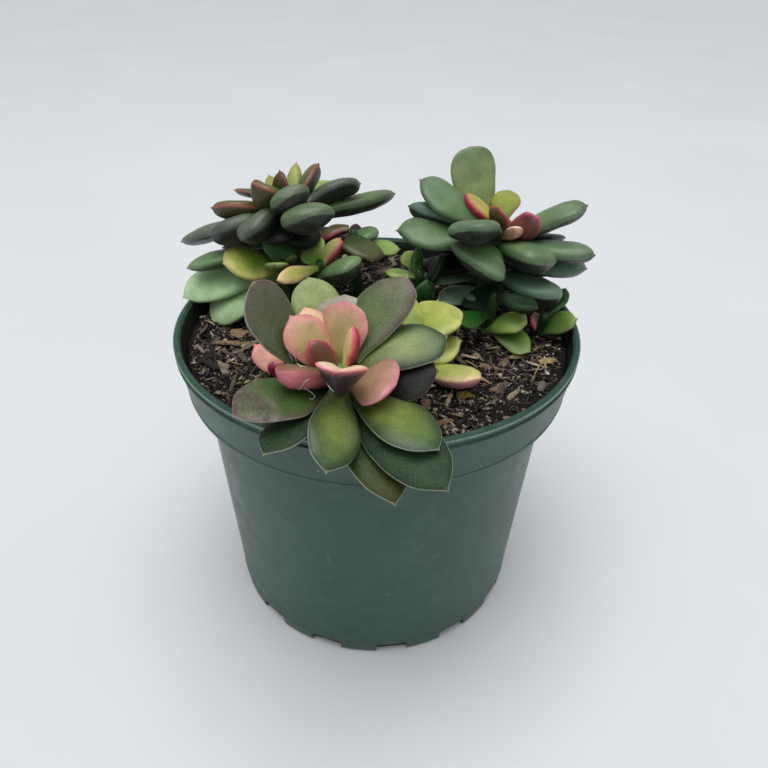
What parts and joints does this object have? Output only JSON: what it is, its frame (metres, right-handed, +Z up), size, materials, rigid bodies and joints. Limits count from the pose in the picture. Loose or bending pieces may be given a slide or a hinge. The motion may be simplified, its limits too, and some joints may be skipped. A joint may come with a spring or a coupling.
{
  "type": "potted succulent",
  "caption": "Succulent plant with fleshy leafy rosettes on short stems and small offsets, growing in a round tapered plastic nursery pot with a rim band and drainage slots.",
  "frame": {"origin": "middle of the pot's flat base, on the surface that the pot stands on", "axes": "+Z up along the pot's axis, -Y towards the front, where the rosette that hangs over the rim is, +X to the right"},
  "size_m": [0.1127, 0.1204, 0.1262],
  "materials": {
    "pot": "satin",
    "soil": "matte",
    "stem": "matte",
    "leaf_green": "satin",
    "leaf_deep": "satin",
    "leaf_pink": "satin",
    "leaf_bright": "satin"
  },
  "bodies": {
    "root": {"front_heart": "leaf_bright", "front_leaf_back": "leaf_green", "front_leaf_back_left": "leaf_pink", "front_leaf_back_right": "leaf_green", "front_leaf_low": "leaf_green", "front_leaf_low_left": "leaf_green", "front_leaf_low_right": "leaf_green", "front_leaf_low_side": "leaf_green", "front_leaf_near": "leaf_green", "front_leaf_near_left": "leaf_green", "front_leaf_near_right": "leaf_green", "front_leaf_pink_back": "leaf_pink", "front_leaf_pink_left": "leaf_pink", "front_leaf_pink_low": "leaf_pink", "front_leaf_pink_near": "leaf_pink", "front_leaf_pink_right": "leaf_pink", "front_leaf_right": "leaf_green", "front_offset_left": "leaf_bright", "front_offset_right": "leaf_bright", "front_stem": "stem", "front_whorl_back": "leaf_green", "left_heart": "leaf_bright", "left_leaf_back_right": "leaf_green", "left_leaf_bright": "leaf_bright", "left_leaf_far_left": "leaf_deep", "left_leaf_left": "leaf_deep", "left_leaf_low_left": "leaf_green", "left_leaf_lower_left": "leaf_green", "left_leaf_lowest": "leaf_green", "left_leaf_near_left": "leaf_deep", "left_leaf_near_right": "leaf_green", "left_leaf_right": "leaf_green", "left_leaf_upper_left": "leaf_deep", "left_leaf_upper_near": "leaf_deep", "left_offset_back": "leaf_green", "left_offset_front": "leaf_bright", "left_offset_near": "leaf_green", "left_stem": "stem", "left_whorl_back": "leaf_green", "pot": "pot", "right_heart": "leaf_bright", "right_leaf_back_left": "leaf_green", "right_leaf_left": "leaf_green", "right_leaf_low_right": "leaf_deep", "right_leaf_lower_left": "leaf_deep", "right_leaf_lower_near": "leaf_deep", "right_leaf_near": "leaf_green", "right_leaf_near_left": "leaf_green", "right_leaf_near_right": "leaf_green", "right_leaf_right": "leaf_green", "right_leaf_upper_left": "leaf_green", "right_leaf_upper_right": "leaf_green", "right_leaf_upright": "leaf_green", "right_offset_front": "leaf_bright", "right_offset_left": "leaf_green", "right_offset_side": "leaf_green", "right_stem": "stem", "right_whorl_back": "leaf_green", "soil": "soil"}
  },
  "joints": []
}
